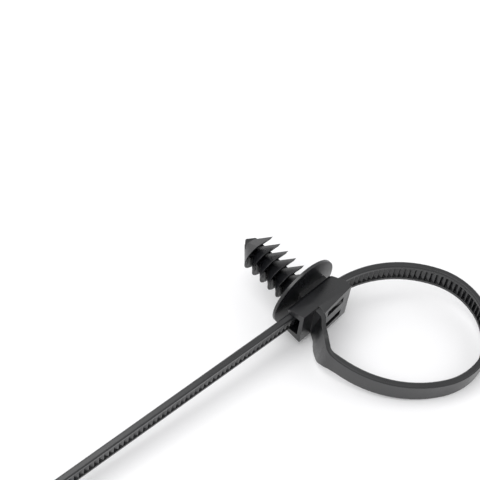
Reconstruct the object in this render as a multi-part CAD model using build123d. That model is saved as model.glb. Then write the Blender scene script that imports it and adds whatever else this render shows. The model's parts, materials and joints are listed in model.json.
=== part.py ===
from build123d import *
import os
from math import cos, radians, sin, tan

# Fir tree cable tie, moulded in one piece and closed in a loop, lying as it comes to rest.
# It is built in the frame of its head: X runs through the slot towards the side that the
# strap enters, Y runs along the fir tree towards its tip, Z runs across the strap.
# All sizes are in millimetres and all angles in degrees.

# Strap
strap_width = 4.7
strap_thickness = 1.15
strap_edge_chamfer = 0.22
rail_width = 0.8
ladder_sink = 0.1
tooth_pitch = 1.0
tooth_depth = 0.5
tooth_land = 0.15
tail_length = 84.3
tail_twist = -4.5
smooth_tail = 30.0
tip_taper = 7.0
tip_width = 2.4

# Closed loop, from the slot round to the neck
strap_lean = 3.1
far_turn = 59.6
round_turn = 144.9
near_turn = 57.7
near_radius = 20.9
bend_turn = 34.5
bend_radius = 2.4
neck_run = 7.35

# Neck, where the strap grows out of the head
neck_root_width = 8.2
neck_root_thickness = 1.9
neck_taper = 6.6
neck_round = 2.6
neck_teeth = 5
neck_smooth = 3.4
neck_offset = 0.2

# Head
exit_reach = 5.8
exit_rake = 1.15
entry_reach = 4.4
entry_swell = 0.95
entry_swell_depth = 2.4
entry_return = 0.3
wall_depth = 3.2
head_top_width = 7.0
head_flare = 0.31
roof_inset = 0.5
step_length = 6.6
step_depth = 1.6
step_rake = 5.0
step_slant = 0.2
slot_width = 5.1
slot_clearance = 0.3
side_gap_floor = 0.75
pawl_width = 2.9
pawl_thickness = 0.8
pawl_reach = 5.0
pawl_teeth = 3
pawl_clearance = 0.15
pocket_length = 4.3
pocket_width = 1.1
pocket_depth = 1.2
pocket_spread = 5.2
frame_slot_height = 0.5
frame_slot_depth = 1.6

# Disc and the boss that joins it to the head
disc_radius = 7.33
disc_hub_radius = 3.4
disc_thickness = 0.9
disc_rim_thickness = 0.55
boss_length = 6.2
boss_height = 1.58
boss_width = 3.6

# Fir tree
fin_count = 6
fin_pitch = 2.07
fin_height = 3.9
fin_half_width = 3.05
fin_round_center = 1.15
fin_corner = 2.8
fin_corner_half = 2.5
fin_apex_offset = 0.6
fin_wall_drop = 0.65
fin_tip_share = 0.2
last_rim = 1.0
rib_thickness = 1.5
rib_front = 1.1
rib_back = 2.1
nose_top = 15.05
nose_slope = 0.64
nose_round = 0.4

# Places that follow from the sizes above
disc_front = disc_thickness / 2
disc_back = -disc_front
slot_roof = disc_back - boss_height
slot_axis = slot_roof - slot_clearance - strap_thickness / 2 - boss_length / 4 * tan(radians(strap_lean))
head_top = slot_roof + slot_clearance
wall_top = head_top - roof_inset
head_floor = wall_top - wall_depth
step_start = entry_reach - step_length
step_bottom = head_floor - step_depth
neck_root = Vector(step_start + neck_offset, head_floor, 0)
ladder_width = strap_width - 2 * rail_width
smidgen = 0.05
settling_rounds = 6


def heading(angle):
    """Unit vector in the loop's plane at an angle from X."""
    return Vector(cos(radians(angle)), sin(radians(angle)), 0)


def left_of(direction):
    """The direction that lies a quarter turn to the left, the outside of the loop."""
    return Vector(-direction.Y, direction.X, 0)


def arc_step(start_angle, turn):
    """How far an arc of radius 1 goes when it turns right from a heading."""
    return left_of(heading(start_angle)) * -1 + left_of(heading(start_angle - turn))


def slot_point(x):
    """Point of the strap's centreline inside the slot."""
    return Vector(x, slot_axis - x * tan(radians(strap_lean)), 0)


def closing_radii():
    """Radii of the far and the round arc that bring the strap from the slot to the neck."""
    far_angle = -strap_lean
    round_angle = far_angle - far_turn
    near_angle = round_angle - round_turn
    bend_angle = near_angle - near_turn
    neck_angle = bend_angle - bend_turn
    far_way = arc_step(far_angle, far_turn)
    round_way = arc_step(round_angle, round_turn)
    fixed_way = (
        arc_step(near_angle, near_turn) * near_radius
        + arc_step(bend_angle, bend_turn) * bend_radius
        + heading(neck_angle) * neck_run
    )
    gap = neck_root - slot_point(entry_reach) - fixed_way
    spread = far_way.X * round_way.Y - far_way.Y * round_way.X
    far_radius = (gap.X * round_way.Y - gap.Y * round_way.X) / spread
    round_radius = (far_way.X * gap.Y - far_way.Y * gap.X) / spread
    return far_radius, round_radius


def loop_edges():
    """Centreline from the slot round the loop to the neck's root."""
    far_radius, round_radius = closing_radii()
    turns = (
        (far_radius, far_turn),
        (round_radius, round_turn),
        (near_radius, near_turn),
        (bend_radius, bend_turn),
    )
    edges = []
    start = slot_point(entry_reach)
    direction = heading(-strap_lean)
    for radius, turn in turns:
        arc = JernArc(start, direction, radius, -turn)
        edges.append(arc)
        start = arc @ 1
        direction = arc % 1
    edges.append(Line(start, start + direction * neck_run))
    return edges


loop_line = loop_edges()
tail_way = heading(-strap_lean)
tail_across = Vector(0, 0, 1).rotate(Axis((0, 0, 0), tail_way), -tail_twist)
tail_outward = tail_across.cross(tail_way)
tail_end = slot_point(-exit_reach) - tail_way * tail_length
neck_line = loop_line[-1]
tail_route = Line(tail_end, slot_point(0))
slot_line = Line(slot_point(0), slot_point(entry_reach))
loop_route = Wire([slot_line.edge()] + [line.edge() for line in loop_line])


def frame_on_route(distance):
    """Plane at a distance from the tail's end: X along the strap, Y to the loop's inside."""
    if distance < tail_route.length:
        return Plane(origin=tail_end + tail_way * distance, x_dir=tail_way, z_dir=tail_across * -1)
    rest = distance - tail_route.length
    point = loop_route.position_at(rest, position_mode=PositionMode.LENGTH)
    along = loop_route.tangent_at(rest, position_mode=PositionMode.LENGTH)
    return Plane(origin=point, x_dir=along, z_dir=(0, 0, -1))


def strap_section():
    """Section of the strap: chamfered edges and a shallow channel for the ladder."""
    half = strap_width / 2
    thick = strap_thickness / 2
    corner = strap_edge_chamfer
    rail = half - rail_width
    outline = Polyline(
        (-half + corner, -thick),
        (half - corner, -thick),
        (half, -thick + corner),
        (half, thick - corner),
        (half - corner, thick),
        (rail, thick),
        (rail, thick - ladder_sink),
        (-rail, thick - ladder_sink),
        (-rail, thick),
        (-half + corner, thick),
        (-half, thick - corner),
        (-half, -thick + corner),
        close=True,
    )
    return make_face(outline)


def strap_body():
    """The strap: a straight tail, a little twisted, and the loop round to the neck."""
    tail_start = Plane(origin=tail_end, x_dir=tail_across, z_dir=tail_way)
    loop_start = Plane(origin=slot_point(0), x_dir=(0, 0, 1), z_dir=tail_way)
    tail = extrude(tail_start * strap_section(), amount=tail_route.length)
    return tail + sweep(loop_start * strap_section(), path=loop_route)


def tail_tip_cutter():
    """What is taken off beside the tail's end to leave it tapered and round."""
    half = strap_width / 2
    tip = tip_width / 2
    blank = Rectangle(2 * tip_taper, 2 * strap_width)
    nose = make_face(
        Polyline(
            (tip_taper, half + smidgen),
            (tip, tip),
            (tip, -tip),
            (tip_taper, -half - smidgen),
            (2 * tip_taper, -half - smidgen),
            (2 * tip_taper, half + smidgen),
            close=True,
        )
    )
    waste = blank - nose - Pos(tip, 0) * Circle(tip)
    face = Plane(origin=tail_end, x_dir=tail_way, z_dir=tail_outward)
    return extrude(face * waste, amount=strap_thickness, both=True)


def tooth_pocket():
    """One pocket of the ladder: a steep wall towards the tail and a slope up to the next land."""
    top = strap_thickness / 2
    floor = top - ladder_sink - tooth_depth
    reach = tooth_pitch - tooth_land
    outline = Polyline((0, top), (0, floor), (reach, top - ladder_sink), (reach, top), close=True)
    return extrude(make_face(outline), amount=ladder_width / 2, both=True)


def pocket_distances():
    """Where the pockets start, along the route from the tail's end."""
    neck_end = tail_route.length + loop_route.length - neck_teeth * tooth_pitch - strap_thickness
    ladder_end = neck_end - neck_smooth
    count = int((ladder_end - smooth_tail) / tooth_pitch)
    ladder = [smooth_tail + i * tooth_pitch for i in range(count)]
    return ladder + [neck_end + i * tooth_pitch for i in range(neck_teeth)]


def neck_body():
    """The neck: a wedge in the side view and a rounded shoulder in the front view."""
    direction = neck_line % 1
    outside = left_of(direction)
    start = neck_line @ 0
    root = start + direction * (neck_run + neck_root_thickness / 2)
    thin = outside * (strap_thickness / 2)
    thick = outside * (neck_root_thickness / 2)
    side = make_face(Polyline(start + thin, root + thick, root - thick, start - thin, close=True))
    slab = extrude(side, amount=neck_root_width / 2, both=True)
    shoulder = neck_run - neck_taper
    strap_half = strap_width / 2
    root_half = neck_root_width / 2
    length = (root - start).length + smidgen
    outline = make_face(
        Polyline(
            (-smidgen, strap_half),
            (shoulder, strap_half),
            (neck_run - neck_round, root_half),
            (length, root_half),
            (length, -root_half),
            (neck_run - neck_round, -root_half),
            (shoulder, -strap_half),
            (-smidgen, -strap_half),
            close=True,
        )
    )
    face = Plane(origin=start, x_dir=direction, z_dir=outside)
    corners = outline.vertices().filter_by_position(Axis.X, shoulder, neck_run - neck_round)
    outline = fillet(corners, radius=neck_round / 2)
    return slab & extrude(face * outline, amount=neck_root_thickness, both=True)


def ladder_cutters():
    """Every pocket of the ladder, set along the route."""
    pocket = tooth_pocket()
    return [frame_on_route(distance) * pocket for distance in pocket_distances()]


def head_side():
    """Side view of the head: a long block by the disc and a step on its entry half."""
    lift = step_length * tan(radians(step_rake))
    swell = entry_reach + entry_swell
    return make_face(
        Polyline(
            (-exit_reach, head_top),
            (entry_reach, head_top),
            (swell, wall_top - entry_swell_depth),
            (swell - entry_return, step_bottom + lift),
            (step_start + step_slant, step_bottom),
            (step_start, head_floor),
            (exit_rake - exit_reach, head_floor),
            (-exit_reach, wall_top),
            close=True,
        )
    )


def head_front():
    """Front view of the head: chamfered by the disc and wider towards the neck."""
    low = step_bottom - smidgen
    roof = head_top_width / 2 - roof_inset
    top = head_top_width / 2
    bottom = top + (wall_top - low) * head_flare
    half = Polyline((low, 0), (low, bottom), (wall_top, top), (head_top, roof), (head_top, 0), close=True)
    face = make_face(half)
    return face + mirror(face, about=Plane.XZ)


def head_block():
    """The head's outer form: the side view and the front view together."""
    block = extrude(head_side(), amount=2 * head_top_width, both=True)
    across = Plane(origin=(0, 0, 0), x_dir=(0, 1, 0), z_dir=(1, 0, 0))
    return block & extrude(across * head_front(), amount=2 * exit_reach, both=True)


def strap_passage():
    """The slot that the strap goes through, along its own lean, open above the exit half."""
    height = strap_thickness + 2 * slot_clearance
    frame = Plane(origin=slot_point(0), x_dir=tail_way, z_dir=(0, 0, 1))
    slot = extrude(frame * Rectangle(4 * exit_reach, height), amount=slot_width / 2, both=True)
    open_length = exit_reach + entry_reach - boss_length
    gap = Box(open_length, height, slot_width, align=(Align.MIN, Align.MIN, Align.CENTER))
    return slot + Pos(-exit_reach, slot_axis, 0) * gap


def pawl_room():
    """The open room under the strap, from the exit side to the pawl's hinge."""
    top = slot_axis
    floor = head_floor + side_gap_floor
    start = -exit_reach - smidgen
    end = exit_rake - exit_reach + pawl_reach + pawl_thickness
    room = make_face(Polyline((start, top), (end, top), (end, floor), (start, floor), close=True))
    return extrude(room, amount=slot_width / 2, both=True)


def pawl():
    """The sprung tongue under the strap, with teeth that face the ladder."""
    face = strap_thickness / 2 + pawl_clearance
    root = exit_rake - exit_reach + pawl_reach + pawl_thickness
    tip = root - pawl_reach
    pitch = tooth_pitch
    points = [(root + pawl_thickness, face + tooth_depth)]
    for i in reversed(range(pawl_teeth)):
        points.append((tip + (i + 1) * pitch, face + tooth_depth))
        points.append((tip + i * pitch, face))
    points.append((tip, face + pawl_thickness))
    points.append((root + pawl_thickness, face + tooth_depth + pawl_thickness))
    frame = Plane(origin=slot_point(0), x_dir=tail_way, z_dir=(0, 0, -1))
    return extrude(frame * make_face(Polyline(*points, close=True)), amount=pawl_width / 2, both=True)


def step_pockets():
    """Two lightening pockets in the step's far wall, long along the slot."""
    middle = entry_reach - step_length / 2
    lift = step_length / 2 * tan(radians(step_rake))
    cutters = []
    for side in (-1, 1):
        place = Pos(middle, step_bottom + lift, side * pocket_spread / 2) * Rot(0, 0, step_rake)
        cutters.append(place * Box(pocket_length, 2 * pocket_depth, pocket_width))
    return cutters


def frame_slot():
    """The narrow slot under the window on the entry side."""
    place = Pos(entry_reach + entry_swell, head_floor, 0)
    return place * Box(2 * frame_slot_depth, frame_slot_height, slot_width)


def boss():
    """Short block that carries the disc on the entry half of the head."""
    size = Box(boss_length, boss_height, boss_width, align=(Align.MAX, Align.MIN, Align.CENTER))
    return Pos(entry_reach, slot_roof, 0) * size


def disc():
    """Thin disc with a flat front and a back that rises towards its rim."""
    profile = make_face(
        Polyline(
            (0, disc_back),
            (disc_hub_radius, disc_back),
            (disc_radius, disc_front - disc_rim_thickness),
            (disc_radius, disc_front),
            (0, disc_front),
            close=True,
        )
    )
    return revolve(profile, axis=Axis.Y)


def fin_level(drop, share):
    """Level section of a fin's hood: round on the exit side, straight on to two corners."""
    half = fin_half_width * share
    center = (fin_apex_offset - fin_round_center) * share - fin_apex_offset
    corner = (fin_apex_offset + fin_corner) * share - fin_apex_offset
    narrow = fin_corner_half * share
    round_end = CenterArc((center, 0), half, 90, 180)
    sides = Polyline(round_end @ 1, (corner, -narrow), (corner, narrow), round_end @ 0)
    level = Plane(origin=(0, -drop, 0), x_dir=(1, 0, 0), z_dir=(0, -1, 0))
    return level * make_face([round_end, sides])


def fin_cone(top):
    """Solid hood of a fin down to its rim, with its apex at a height over the fin's own."""
    reach = (fin_height + top) / fin_height
    tip = fin_level(fin_height * fin_tip_share - top, fin_tip_share)
    return loft([tip, fin_level(fin_height, reach)], ruled=True)


def fin():
    """Hollow hood of one fin, its apex at the origin, cut open on the entry side."""
    shell = fin_cone(0) - Pos(0, -smidgen, 0) * fin_cone(smidgen - fin_wall_drop)
    length = fin_apex_offset + fin_corner
    end = 2 * length - fin_apex_offset
    half = 2 * fin_corner_half
    opening = Polyline((-fin_apex_offset, 0), (end, half), (end, -half), close=True)
    top = Plane(origin=(0, smidgen, 0), x_dir=(1, 0, 0), z_dir=(0, -1, 0))
    return shell - extrude(top * make_face(opening), amount=2 * fin_height)


def rib():
    """Flat stem between the fins, with a sloping nose."""
    outline = Polyline(
        (-rib_back, 0),
        (rib_front, 0),
        (rib_front, nose_top - nose_slope * (rib_front + fin_apex_offset)),
        (-fin_apex_offset, nose_top),
        (-rib_back, nose_top + fin_apex_offset - rib_back),
        close=True,
    )
    side = make_face(outline)
    corners = side.vertices().filter_by(lambda corner: corner.Y > nose_top / 2)
    return extrude(fillet(corners, radius=nose_round), amount=rib_thickness / 2, both=True)


def fir_tree():
    """The stem and the row of fins."""
    tree = rib()
    hood = fin()
    for i in range(fin_count):
        tree += Pos(0, last_rim + fin_height + i * fin_pitch, 0) * hood
    return tree


def tie():
    """The whole moulding, in the frame of its head."""
    strap = strap_body() - tail_tip_cutter()
    strap = strap + neck_body()
    strap = strap - ladder_cutters()
    head = head_block() - strap_passage() - pawl_room() - frame_slot() - step_pockets()
    head = head + pawl() + boss() + disc() + fir_tree()
    return head + strap


def touching_points(up):
    """Lowest points of the disc, the loop and the tail for a direction that is up."""
    rim = Vector(-up.X, 0, -up.Z).normalized() * disc_radius
    rim_back = Vector(0, disc_front - disc_rim_thickness, 0)
    low_edge = Vector(0, 0, -strap_width / 2)
    round_arc = loop_line[1]
    outside = Vector(-up.X, -up.Y, 0).normalized() * (round_arc.radius + strap_thickness / 2)
    far_point = round_arc.arc_center + outside + low_edge
    tail_edge = tail_across * (strap_width / -2) + tail_outward * (strap_edge_chamfer - strap_thickness / 2)
    tail_point = tail_end + tail_way * tip_taper + tail_edge
    return rim + rim_back, far_point, tail_point


def resting_plane():
    """Table under the tie, found by letting the three touching points settle."""
    up = Vector(0, 1, 1).normalized()
    for _ in range(settling_rounds):
        rim_point, far_point, tail_point = touching_points(up)
        up = (tail_point - rim_point).cross(far_point - rim_point).normalized()
    return Plane(origin=rim_point, x_dir=Vector(up.Z, 0, -up.X), z_dir=up)


def at_rest(shape):
    """The shape lying on the ground, with its box's bottom centre at the origin."""
    lying = resting_plane().location.inverse() * shape
    box = lying.bounding_box()
    middle = box.center()
    return Pos(-middle.X, -middle.Y, -box.min.Z) * lying


os.makedirs("parts", exist_ok=True)
whole = at_rest(tie())
whole.label = "cable_tie"
export_step(whole, "parts/cable_tie.step")
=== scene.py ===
"""Looks of a fir tree cable tie in black nylon, on a plain pale floor under soft studio light."""

import json
import math

import bmesh
import bpy
from mathutils import Matrix, Vector


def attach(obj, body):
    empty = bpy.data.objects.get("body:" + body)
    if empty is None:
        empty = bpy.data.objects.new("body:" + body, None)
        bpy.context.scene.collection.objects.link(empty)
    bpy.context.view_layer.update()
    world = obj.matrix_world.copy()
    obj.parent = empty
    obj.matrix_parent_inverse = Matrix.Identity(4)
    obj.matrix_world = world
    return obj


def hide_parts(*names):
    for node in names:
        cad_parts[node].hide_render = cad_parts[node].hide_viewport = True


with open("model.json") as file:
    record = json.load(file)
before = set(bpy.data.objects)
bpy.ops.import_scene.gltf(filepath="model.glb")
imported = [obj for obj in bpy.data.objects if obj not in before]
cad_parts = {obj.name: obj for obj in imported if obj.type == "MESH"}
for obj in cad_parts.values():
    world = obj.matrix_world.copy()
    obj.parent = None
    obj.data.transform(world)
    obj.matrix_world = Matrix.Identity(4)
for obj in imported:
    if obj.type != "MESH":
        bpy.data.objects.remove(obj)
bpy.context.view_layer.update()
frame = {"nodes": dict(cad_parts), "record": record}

bl_info = {
    "name": "Fir Tree Cable Tie",
    "version": (1, 0, 0),
    "blender": (4, 5, 0),
    "location": "3D View > Sidebar > Cable Tie",
    "description": "Builds the cable tie's moulding and the stage that it lies on",
    "category": "Object",
}

MM = 0.001
TIE_NODE = "cable_tie"

# The head's own axes: along the slot (as measured on the solid), along the tree, and across the strap.
MOUNT_HEIGHT = 0.45 * MM
MOUNT = frame["record"]["mounts"][0]
TREE_WAY = Vector(MOUNT["axis"]).normalized()
SLOT_WAY = Vector((0.998, -0.0107, 0.0619)).normalized()
ACROSS = SLOT_WAY.cross(TREE_WAY)
HEAD_CENTRE = Vector(MOUNT["pos_m"]) - TREE_WAY * MOUNT_HEIGHT

# Where the neck and the bend below it lie in the head's axes, in millimetres.
NECK_START = Vector((-5.653, -11.808, 0.0))
NECK_WAY = Vector((0.497, 0.868, 0.0))
NECK_OUT = Vector((-0.868, 0.497, 0.0))
NECK_LENGTH = 5.5
NECK_GROWTH = 0.09
NECK_FOOT = -6.9
NECK_STATIONS = (0.5, 1.0, 1.5, 2.2, 3.0, 4.0)
BEND_RADIUS = 2.4
BEND_TURN = math.radians(34.5)
LOOP_CENTRE = Vector((14.868, -11.485, 0.0))
LOOP_RADIUS = 20.9
LOOP_START = math.radians(4.7)
LOOP_REACH = math.radians(15.0)
STRAP_HALF = 2.35
STRAP_THICKNESS = 1.15
LADDER_HALF = 1.6

# How far a point may lie from the middle of the strap and still belong to it, and the neck's limits.
STRAP_REACH = 1.0
NECK_REACH = 1.1
NECK_RIGHT = -1.5
ROOT_MARGIN = 0.3

# Where each change of the neck starts and ends, in millimetres up the neck from the bend.
THINNING = (-3.5, 0.2)
WIDENING = (-2.0, 1.9)
BOW_RISE = (-2.0, 1.0)
BOW_FALL = (3.0, 5.5)

# The pockets in the head's step: their inner sides as packed and as shown, and where they lie.
POCKET_INNER = 2.05
POCKET_SHOWN = 1.25
POCKET_START = -1.3
POCKET_BAND = (-7.4, -5.4)
MATCH = 0.01

# The lower part of the head's exit end: how far it is pushed out, and where it lies.
EXIT_PUSH = 1.15
EXIT_START = -4.0
EXIT_TOP = -0.5
EXIT_BOTTOM = -5.6
EXIT_DROP = 4.9
EXIT_WALL = (2.5, 4.6)

MERGE_GAP = 0.0005 * MM
SLIVER_LENGTH = 0.0002 * MM

SENSOR_WIDTH = 36.0
CLIP_NEAR = 0.01
CLIP_FAR = 20.0
LIT_SPOT = (10 * MM, 0.0, 0.0)
KEY_PLACE = (-0.17, 0.02, 0.50)
FILL_PLACE = (0.30, -0.40, 0.40)
LAMP_SIDE = 0.5


class TieSettings(bpy.types.PropertyGroup):
    """Finish of the moulding and form of its neck."""

    nylon_colour: bpy.props.FloatVectorProperty(
        name="Nylon colour",
        description="Colour of the black nylon",
        subtype="COLOR",
        size=3,
        min=0.0,
        max=1.0,
        default=(0.0042, 0.0044, 0.0052),
    )
    nylon_sheen_colour: bpy.props.FloatVectorProperty(
        name="Worn colour",
        description="Colour of the nylon where the mould's skin is a little paler",
        subtype="COLOR",
        size=3,
        min=0.0,
        max=1.0,
        default=(0.0095, 0.0098, 0.0112),
    )
    gloss_roughness: bpy.props.FloatProperty(
        name="Smooth roughness",
        description="Roughness of the nylon where the mould was polished",
        default=0.23,
        min=0.0,
        max=1.0,
    )
    matt_roughness: bpy.props.FloatProperty(
        name="Matt roughness",
        description="Roughness of the nylon where the skin is dullest",
        default=0.35,
        min=0.0,
        max=1.0,
    )
    edge_radius: bpy.props.FloatProperty(
        name="Edge radius",
        description="How round the moulding's corners look",
        default=0.12 * MM,
        min=0.0,
        unit="LENGTH",
    )
    neck_half_width: bpy.props.FloatProperty(
        name="Neck half width",
        description="Half the width of the neck between the head and the bend",
        default=4.2 * MM,
        min=0.0,
        unit="LENGTH",
    )
    neck_thickness: bpy.props.FloatProperty(
        name="Neck thickness",
        description="Thickness of the thin neck",
        default=0.8 * MM,
        min=0.0,
        unit="LENGTH",
    )
    neck_twist: bpy.props.FloatProperty(
        name="Neck twist",
        description="How far the neck is twisted about its own length",
        default=math.radians(4.5),
        subtype="ANGLE",
    )
    neck_bow: bpy.props.FloatProperty(
        name="Neck bow",
        description="How far the middle of the neck bows away from the loop",
        default=0.5 * MM,
        unit="LENGTH",
    )
    crease_angle: bpy.props.FloatProperty(
        name="Crease angle",
        description="Faces that meet at more than this angle keep a crisp edge",
        default=math.radians(18.0),
        subtype="ANGLE",
    )


class StageSettings(bpy.types.PropertyGroup):
    """Floor, light and camera."""

    floor_colour: bpy.props.FloatVectorProperty(
        name="Floor colour",
        description="Colour of the floor and of the background",
        subtype="COLOR",
        size=3,
        min=0.0,
        max=1.0,
        default=(0.94, 0.94, 0.95),
    )
    floor_whiteness: bpy.props.FloatProperty(
        name="Floor whiteness",
        description="Share of plain white in the floor as the camera and reflections see it",
        default=0.08,
        min=0.0,
        max=1.0,
        subtype="FACTOR",
    )
    floor_size: bpy.props.FloatProperty(
        name="Floor size",
        description="Side of the floor",
        default=4.0,
        unit="LENGTH",
    )
    camera_distance: bpy.props.FloatProperty(
        name="Camera distance",
        description="From the camera to the point that it looks at",
        default=220.61 * MM,
        unit="LENGTH",
    )
    camera_azimuth: bpy.props.FloatProperty(
        name="Camera azimuth",
        description="Direction of the camera as seen from above, from the X axis",
        default=math.radians(-132.21),
        subtype="ANGLE",
    )
    camera_elevation: bpy.props.FloatProperty(
        name="Camera elevation",
        description="Height of the camera above the floor, as an angle",
        default=math.radians(47.15),
        subtype="ANGLE",
    )
    camera_roll: bpy.props.FloatProperty(
        name="Camera roll",
        description="Turn of the picture about the line of sight",
        default=math.radians(-1.25),
        subtype="ANGLE",
    )
    camera_target: bpy.props.FloatVectorProperty(
        name="Camera target",
        description="Point on the floor at the middle of the picture",
        subtype="XYZ",
        size=3,
        unit="LENGTH",
        default=(38.35 * MM, 30.98 * MM, 0.0),
    )
    focal_length: bpy.props.FloatProperty(
        name="Focal length",
        description="Focal length on a sensor 36 mm wide, in millimetres",
        default=83.05,
        min=1.0,
    )
    key_power: bpy.props.FloatProperty(
        name="Key power",
        description="Power of the large soft lamp above the tie, in watts",
        default=2.0,
        min=0.0,
    )
    fill_power: bpy.props.FloatProperty(
        name="Fill power",
        description="Power of the weaker lamp in front of the tie, in watts",
        default=0.6,
        min=0.0,
    )
    sky_strength: bpy.props.FloatProperty(
        name="Sky strength",
        description="Strength of the even white light from all round",
        default=0.65,
        min=0.0,
    )


def add_node(tree, kind, place, **values):
    """New shader node of a kind at a place in the tree, with its named properties set."""
    node = tree.nodes.new(kind)
    node.location = place
    for name, value in values.items():
        setattr(node, name, value)
    return node


def moulded_skin():
    """Node group for a moulded plastic skin: a soft mask and a fine height."""
    group = bpy.data.node_groups.new("moulded_skin", "ShaderNodeTree")
    face = group.interface
    face.new_socket("Vector", in_out="INPUT", socket_type="NodeSocketVector")
    for name, value in (("Cloud Scale", 120.0), ("Grain Scale", 3800.0)):
        socket = face.new_socket(name, in_out="INPUT", socket_type="NodeSocketFloat")
        socket.default_value = value
    for name in ("Clouds", "Height"):
        face.new_socket(name, in_out="OUTPUT", socket_type="NodeSocketFloat")
    inlet = add_node(group, "NodeGroupInput", (-600, 0))
    outlet = add_node(group, "NodeGroupOutput", (400, 0))
    clouds = add_node(group, "ShaderNodeTexNoise", (-300, 150))
    clouds.inputs["Detail"].default_value = 3.0
    clouds.inputs["Roughness"].default_value = 0.55
    grain = add_node(group, "ShaderNodeTexNoise", (-300, -150))
    grain.inputs["Detail"].default_value = 2.0
    both = add_node(group, "ShaderNodeMath", (0, -150), operation="MULTIPLY_ADD")
    both.inputs[1].default_value = 0.35
    links = group.links
    links.new(inlet.outputs["Vector"], clouds.inputs["Vector"])
    links.new(inlet.outputs["Vector"], grain.inputs["Vector"])
    links.new(inlet.outputs["Cloud Scale"], clouds.inputs["Scale"])
    links.new(inlet.outputs["Grain Scale"], grain.inputs["Scale"])
    links.new(clouds.outputs["Fac"], outlet.inputs["Clouds"])
    links.new(clouds.outputs["Fac"], both.inputs[0])
    links.new(grain.outputs["Fac"], both.inputs[2])
    links.new(both.outputs["Value"], outlet.inputs["Height"])
    return group


def black_nylon(settings):
    """Satin black nylon as it comes out of the mould."""
    material = bpy.data.materials.new("black_nylon_moulded")
    material.use_nodes = True
    tree = material.node_tree
    shader = tree.nodes["Principled BSDF"]
    shader.inputs["IOR"].default_value = 1.53
    place = add_node(tree, "ShaderNodeTexCoord", (-900, 0))
    skin = add_node(tree, "ShaderNodeGroup", (-650, 0), node_tree=moulded_skin())
    skin.inputs["Cloud Scale"].default_value = 170.0
    skin.inputs["Grain Scale"].default_value = 5200.0
    colour = add_node(tree, "ShaderNodeMix", (-350, 200), data_type="RGBA")
    colour.inputs[6].default_value = (*settings.nylon_colour, 1.0)
    colour.inputs[7].default_value = (*settings.nylon_sheen_colour, 1.0)
    rough = add_node(tree, "ShaderNodeMapRange", (-350, -50))
    rough.inputs["From Min"].default_value = 0.3
    rough.inputs["From Max"].default_value = 0.7
    rough.inputs["To Min"].default_value = settings.gloss_roughness
    rough.inputs["To Max"].default_value = settings.matt_roughness
    rounding = add_node(tree, "ShaderNodeBevel", (-350, -300), samples=6)
    rounding.inputs["Radius"].default_value = settings.edge_radius
    bump = add_node(tree, "ShaderNodeBump", (-120, -250))
    bump.inputs["Strength"].default_value = 0.10
    bump.inputs["Distance"].default_value = 0.02 * MM
    links = tree.links
    links.new(place.outputs["Object"], skin.inputs["Vector"])
    links.new(skin.outputs["Clouds"], colour.inputs["Factor"])
    links.new(colour.outputs[2], shader.inputs["Base Color"])
    links.new(skin.outputs["Clouds"], rough.inputs["Value"])
    links.new(rough.outputs["Result"], shader.inputs["Roughness"])
    links.new(skin.outputs["Height"], bump.inputs["Height"])
    links.new(rounding.outputs["Normal"], bump.inputs["Normal"])
    links.new(bump.outputs["Normal"], shader.inputs["Normal"])
    return material


def ease(value, low, high):
    """0 below low, 1 above high, and a smooth step between them."""
    share = min(max((value - low) / (high - low), 0.0), 1.0)
    return share * share * (3.0 - 2.0 * share)


def neck_spot(point):
    """Distance up the neck from the bend, height over its middle, and the way out, or None."""
    flat = Vector((point.x, point.y, 0.0))
    arm = flat - NECK_START
    if arm.dot(NECK_WAY) >= 0.0:
        height = arm.dot(NECK_OUT)
        near = point.y < NECK_FOOT and abs(height) < NECK_REACH and point.x < NECK_RIGHT
        return (arm.dot(NECK_WAY), height, NECK_OUT) if near else None
    centre = NECK_START - NECK_OUT * BEND_RADIUS
    way = (flat - centre).normalized()
    turn = way.angle(NECK_OUT)
    height = (flat - centre).length - BEND_RADIUS
    if turn <= BEND_TURN and abs(height) < STRAP_REACH:
        return -BEND_RADIUS * turn, height, way
    way = (flat - LOOP_CENTRE).normalized()
    height = (flat - LOOP_CENTRE).length - LOOP_RADIUS
    past = math.atan2(-way.y, -way.x) - LOOP_START
    near = abs(height) < STRAP_REACH and 0.0 < past < LOOP_REACH
    return (-BEND_RADIUS * BEND_TURN - LOOP_RADIUS * past, height, way) if near else None


def shape_neck(shell, settings):
    """Widen, thin, twist and bow the neck, fading out beyond the bend, in the head's axes."""
    half = settings.neck_half_width / MM
    thin = settings.neck_thickness / MM
    bow = settings.neck_bow / MM
    slant = math.tan(settings.neck_twist)
    for up in NECK_STATIONS:
        blade = [face for face in shell.faces if all(neck_spot(vert.co) for vert in face.verts)]
        parts = {part for face in blade for part in (*face.verts, *face.edges, face)}
        spot = NECK_START + NECK_WAY * up
        bmesh.ops.bisect_plane(shell, geom=list(parts), plane_co=spot, plane_no=NECK_WAY)
    for vert in shell.verts:
        spot = neck_spot(vert.co)
        if not spot:
            continue
        up, height, way = spot
        share = ease(up, *THINNING)
        old = STRAP_THICKNESS + NECK_GROWTH * max(up, 0.0)
        new = STRAP_THICKNESS + (thin - STRAP_THICKNESS) * share
        lift = old / 2 - (old / 2 - height) * new / old
        side = math.copysign(1.0, vert.co.z)
        if abs(vert.co.z) > LADDER_HALF:
            target = STRAP_HALF + (half - STRAP_HALF) * ease(up, *WIDENING)
            edge = target if up > 0.0 else abs(vert.co.z) + target - STRAP_HALF
            vert.co.z = side * edge
        pivot = half * min(max(up / NECK_LENGTH, 0.0), 1.0)
        lift -= (vert.co.z + pivot) * slant * share
        lift += bow * ease(up, *BOW_RISE) * (1.0 - ease(up, *BOW_FALL))
        if vert.co.y > NECK_FOOT - ROOT_MARGIN:
            vert.co.x += (lift - height) / NECK_OUT.x
        else:
            vert.co += way * (lift - height)


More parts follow.
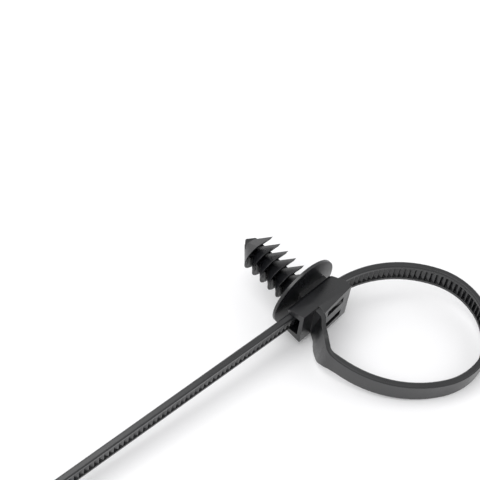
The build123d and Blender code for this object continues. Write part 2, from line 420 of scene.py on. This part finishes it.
def widen_pockets(shell):
    """Widen the two pockets under the head's step towards its middle."""
    low, high = POCKET_BAND
    for vert in shell.verts:
        inner = abs(abs(vert.co.z) - POCKET_INNER) < MATCH
        if inner and vert.co.x > POCKET_START and low < vert.co.y < high:
            vert.co.z = math.copysign(POCKET_SHOWN, vert.co.z)


def straighten_exit(shell):
    """Bring the lower part of the head's exit face out to stand square to the slot."""
    inside, outside = EXIT_WALL
    for vert in shell.verts:
        wall = inside < abs(vert.co.z) < outside
        if wall and vert.co.x < EXIT_START and EXIT_BOTTOM < vert.co.y < EXIT_TOP:
            vert.co.x -= EXIT_PUSH * min((EXIT_TOP - vert.co.y) / EXIT_DROP, 1.0)


def drop_hidden(shell):
    """Delete the closed pockets that lie buried in the moulding, and keep its outer skin."""
    left = set(shell.faces)
    islands = []
    while left:
        island = set()
        waiting = [left.pop()]
        while waiting:
            face = waiting.pop()
            island.add(face)
            for edge in face.edges:
                near = [other for other in edge.link_faces if other in left]
                left.difference_update(near)
                waiting.extend(near)
        islands.append(island)
    islands.sort(key=len)
    hidden = [face for island in islands[:-1] for face in island]
    bmesh.ops.delete(shell, geom=hidden, context="FACES")


def merged_copy(node, name, settings):
    """The node's triangles as one smooth-shaded mesh with crisp edges where faces turn sharply."""
    mesh = node.data.copy()
    mesh.name = name
    shell = bmesh.new()
    shell.from_mesh(mesh)
    bmesh.ops.remove_doubles(shell, verts=shell.verts, dist=MERGE_GAP)
    bmesh.ops.dissolve_degenerate(shell, edges=shell.edges, dist=SLIVER_LENGTH)
    to_row = Matrix((SLOT_WAY, TREE_WAY, ACROSS)).transposed().to_4x4()
    to_row = Matrix.Translation(HEAD_CENTRE) @ to_row @ Matrix.Scale(MM, 4)
    bmesh.ops.transform(shell, matrix=to_row.inverted(), verts=shell.verts)
    drop_hidden(shell)
    shape_neck(shell, settings)
    widen_pockets(shell)
    straighten_exit(shell)
    bmesh.ops.transform(shell, matrix=to_row, verts=shell.verts)
    shell.to_mesh(mesh)
    shell.free()
    stored_normals = mesh.attributes.get("custom_normal")
    if stored_normals:
        mesh.attributes.remove(stored_normals)
    mesh.materials.clear()
    mesh.shade_smooth()
    mesh.set_sharp_from_angle(angle=settings.crease_angle)
    piece = bpy.data.objects.new(name, mesh)
    bpy.context.scene.collection.objects.link(piece)
    return piece


def white_to_eye(tree, place):
    """Value that is 1 for rays from the camera, in gloss and through glass, and 0 for all others."""
    path = add_node(tree, "ShaderNodeLightPath", place)
    gloss = add_node(tree, "ShaderNodeMath", (place[0] + 200, place[1]), operation="MAXIMUM")
    seen = add_node(tree, "ShaderNodeMath", (place[0] + 400, place[1]), operation="MAXIMUM")
    tree.links.new(path.outputs["Is Camera Ray"], gloss.inputs[0])
    tree.links.new(path.outputs["Is Glossy Ray"], gloss.inputs[1])
    tree.links.new(gloss.outputs["Value"], seen.inputs[0])
    tree.links.new(path.outputs["Is Transmission Ray"], seen.inputs[1])
    return seen.outputs["Value"]


def floor_material(colour, whiteness):
    """Plain pale floor, whitened where the camera or a reflection sees it, that keeps shadows."""
    material = bpy.data.materials.new("floor_pale")
    material.use_nodes = True
    tree = material.node_tree
    shader = tree.nodes["Principled BSDF"]
    shader.inputs["Base Color"].default_value = (*colour, 1.0)
    shader.inputs["Roughness"].default_value = 0.9
    shader.inputs["Specular IOR Level"].default_value = 0.1
    white = add_node(tree, "ShaderNodeEmission", (0, -500))
    white.inputs["Strength"].default_value = 1.0
    share = add_node(tree, "ShaderNodeMath", (0, 300), operation="MULTIPLY")
    share.inputs[1].default_value = whiteness
    both = add_node(tree, "ShaderNodeMixShader", (350, 0))
    tree.links.new(white_to_eye(tree, (-650, 300)), share.inputs[0])
    tree.links.new(share.outputs["Value"], both.inputs["Fac"])
    tree.links.new(shader.outputs["BSDF"], both.inputs[1])
    tree.links.new(white.outputs["Emission"], both.inputs[2])
    outlet = tree.nodes["Material Output"]
    outlet.location = (600, 0)
    tree.links.new(both.outputs["Shader"], outlet.inputs["Surface"])
    return material


def white_world(strength):
    """Even white light from all round, plain white where the camera sees it."""
    world = bpy.data.worlds.new("studio_white")
    world.use_nodes = True
    tree = world.node_tree
    sky = tree.nodes["Background"]
    sky.inputs["Color"].default_value = (1.0, 1.0, 1.0, 1.0)
    power = add_node(tree, "ShaderNodeMapRange", (-300, 200))
    power.inputs["To Min"].default_value = strength
    power.inputs["To Max"].default_value = 1.0
    tree.links.new(white_to_eye(tree, (-950, 200)), power.inputs["Value"])
    tree.links.new(power.outputs["Result"], sky.inputs["Strength"])
    bpy.context.scene.world = world


def soft_lamp(name, place, target, side, power):
    """Square area lamp that looks at a target."""
    data = bpy.data.lights.new(name, "AREA")
    data.shape = "SQUARE"
    data.size = side
    data.energy = power
    lamp = bpy.data.objects.new(name, data)
    lamp.location = place
    lamp.rotation_euler = (Vector(target) - Vector(place)).to_track_quat("-Z", "Y").to_euler()
    bpy.context.scene.collection.objects.link(lamp)


def aim_camera(settings):
    """Camera at the photograph's viewing angle."""
    data = bpy.data.cameras.new("camera")
    data.sensor_width = SENSOR_WIDTH
    data.lens = settings.focal_length
    data.clip_start = CLIP_NEAR
    data.clip_end = CLIP_FAR
    elevation = settings.camera_elevation
    azimuth = settings.camera_azimuth
    away = Vector(
        (
            math.cos(elevation) * math.cos(azimuth),
            math.cos(elevation) * math.sin(azimuth),
            math.sin(elevation),
        )
    )
    camera = bpy.data.objects.new("camera", data)
    spot = Vector(settings.camera_target) + away * settings.camera_distance
    turn = away.to_track_quat("Z", "Y").to_matrix().to_4x4()
    roll = Matrix.Rotation(settings.camera_roll, 4, "Z")
    camera.matrix_world = Matrix.Translation(spot) @ turn @ roll
    bpy.context.scene.collection.objects.link(camera)
    bpy.context.scene.camera = camera


class TIE_OT_moulding(bpy.types.Operator):
    """Dress the one moulding: strap, head, disc and tree in black nylon"""

    bl_idname = "cable_tie.moulding"
    bl_label = "Moulding"

    def execute(self, context):
        settings = context.scene.tie_settings
        node = frame["nodes"][TIE_NODE]
        piece = merged_copy(node, "tie_moulding", settings)
        piece.data.materials.append(black_nylon(settings))
        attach(piece, "root")
        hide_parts(TIE_NODE)
        return {"FINISHED"}


class TIE_OT_stage(bpy.types.Operator):
    """Lay the floor and set up the light and the camera"""

    bl_idname = "cable_tie.stage"
    bl_label = "Stage"

    def execute(self, context):
        settings = context.scene.tie_stage
        shell = bmesh.new()
        bmesh.ops.create_grid(shell, x_segments=1, y_segments=1, size=settings.floor_size / 2)
        mesh = bpy.data.meshes.new("floor")
        shell.to_mesh(mesh)
        shell.free()
        mesh.materials.append(floor_material(settings.floor_colour, settings.floor_whiteness))
        floor = bpy.data.objects.new("floor", mesh)
        context.scene.collection.objects.link(floor)
        white_world(settings.sky_strength)
        soft_lamp("key_lamp", KEY_PLACE, LIT_SPOT, LAMP_SIDE, settings.key_power)
        soft_lamp("fill_lamp", FILL_PLACE, LIT_SPOT, LAMP_SIDE, settings.fill_power)
        aim_camera(settings)
        return {"FINISHED"}


class TIE_PT_panel(bpy.types.Panel):
    """Sidebar panel with the steps in order"""

    bl_idname = "TIE_PT_panel"
    bl_label = "Cable Tie"
    bl_space_type = "VIEW_3D"
    bl_region_type = "UI"
    bl_category = "Cable Tie"

    def draw(self, context):
        for step in STEPS:
            self.layout.operator(step.bl_idname)
        for name in TieSettings.__annotations__:
            self.layout.prop(context.scene.tie_settings, name)
        for name in StageSettings.__annotations__:
            self.layout.prop(context.scene.tie_stage, name)


STEPS = (TIE_OT_moulding, TIE_OT_stage)
CLASSES = (TieSettings, StageSettings, *STEPS, TIE_PT_panel)


def register():
    for item in CLASSES:
        bpy.utils.register_class(item)
    bpy.types.Scene.tie_settings = bpy.props.PointerProperty(type=TieSettings)
    bpy.types.Scene.tie_stage = bpy.props.PointerProperty(type=StageSettings)


def unregister():
    del bpy.types.Scene.tie_stage
    del bpy.types.Scene.tie_settings
    for item in reversed(CLASSES):
        bpy.utils.unregister_class(item)


def main():
    register()
    bpy.context.scene.view_settings.view_transform = "Standard"
    bpy.ops.cable_tie.moulding()
    bpy.ops.cable_tie.stage()


if __name__ == "__main__":
    main()
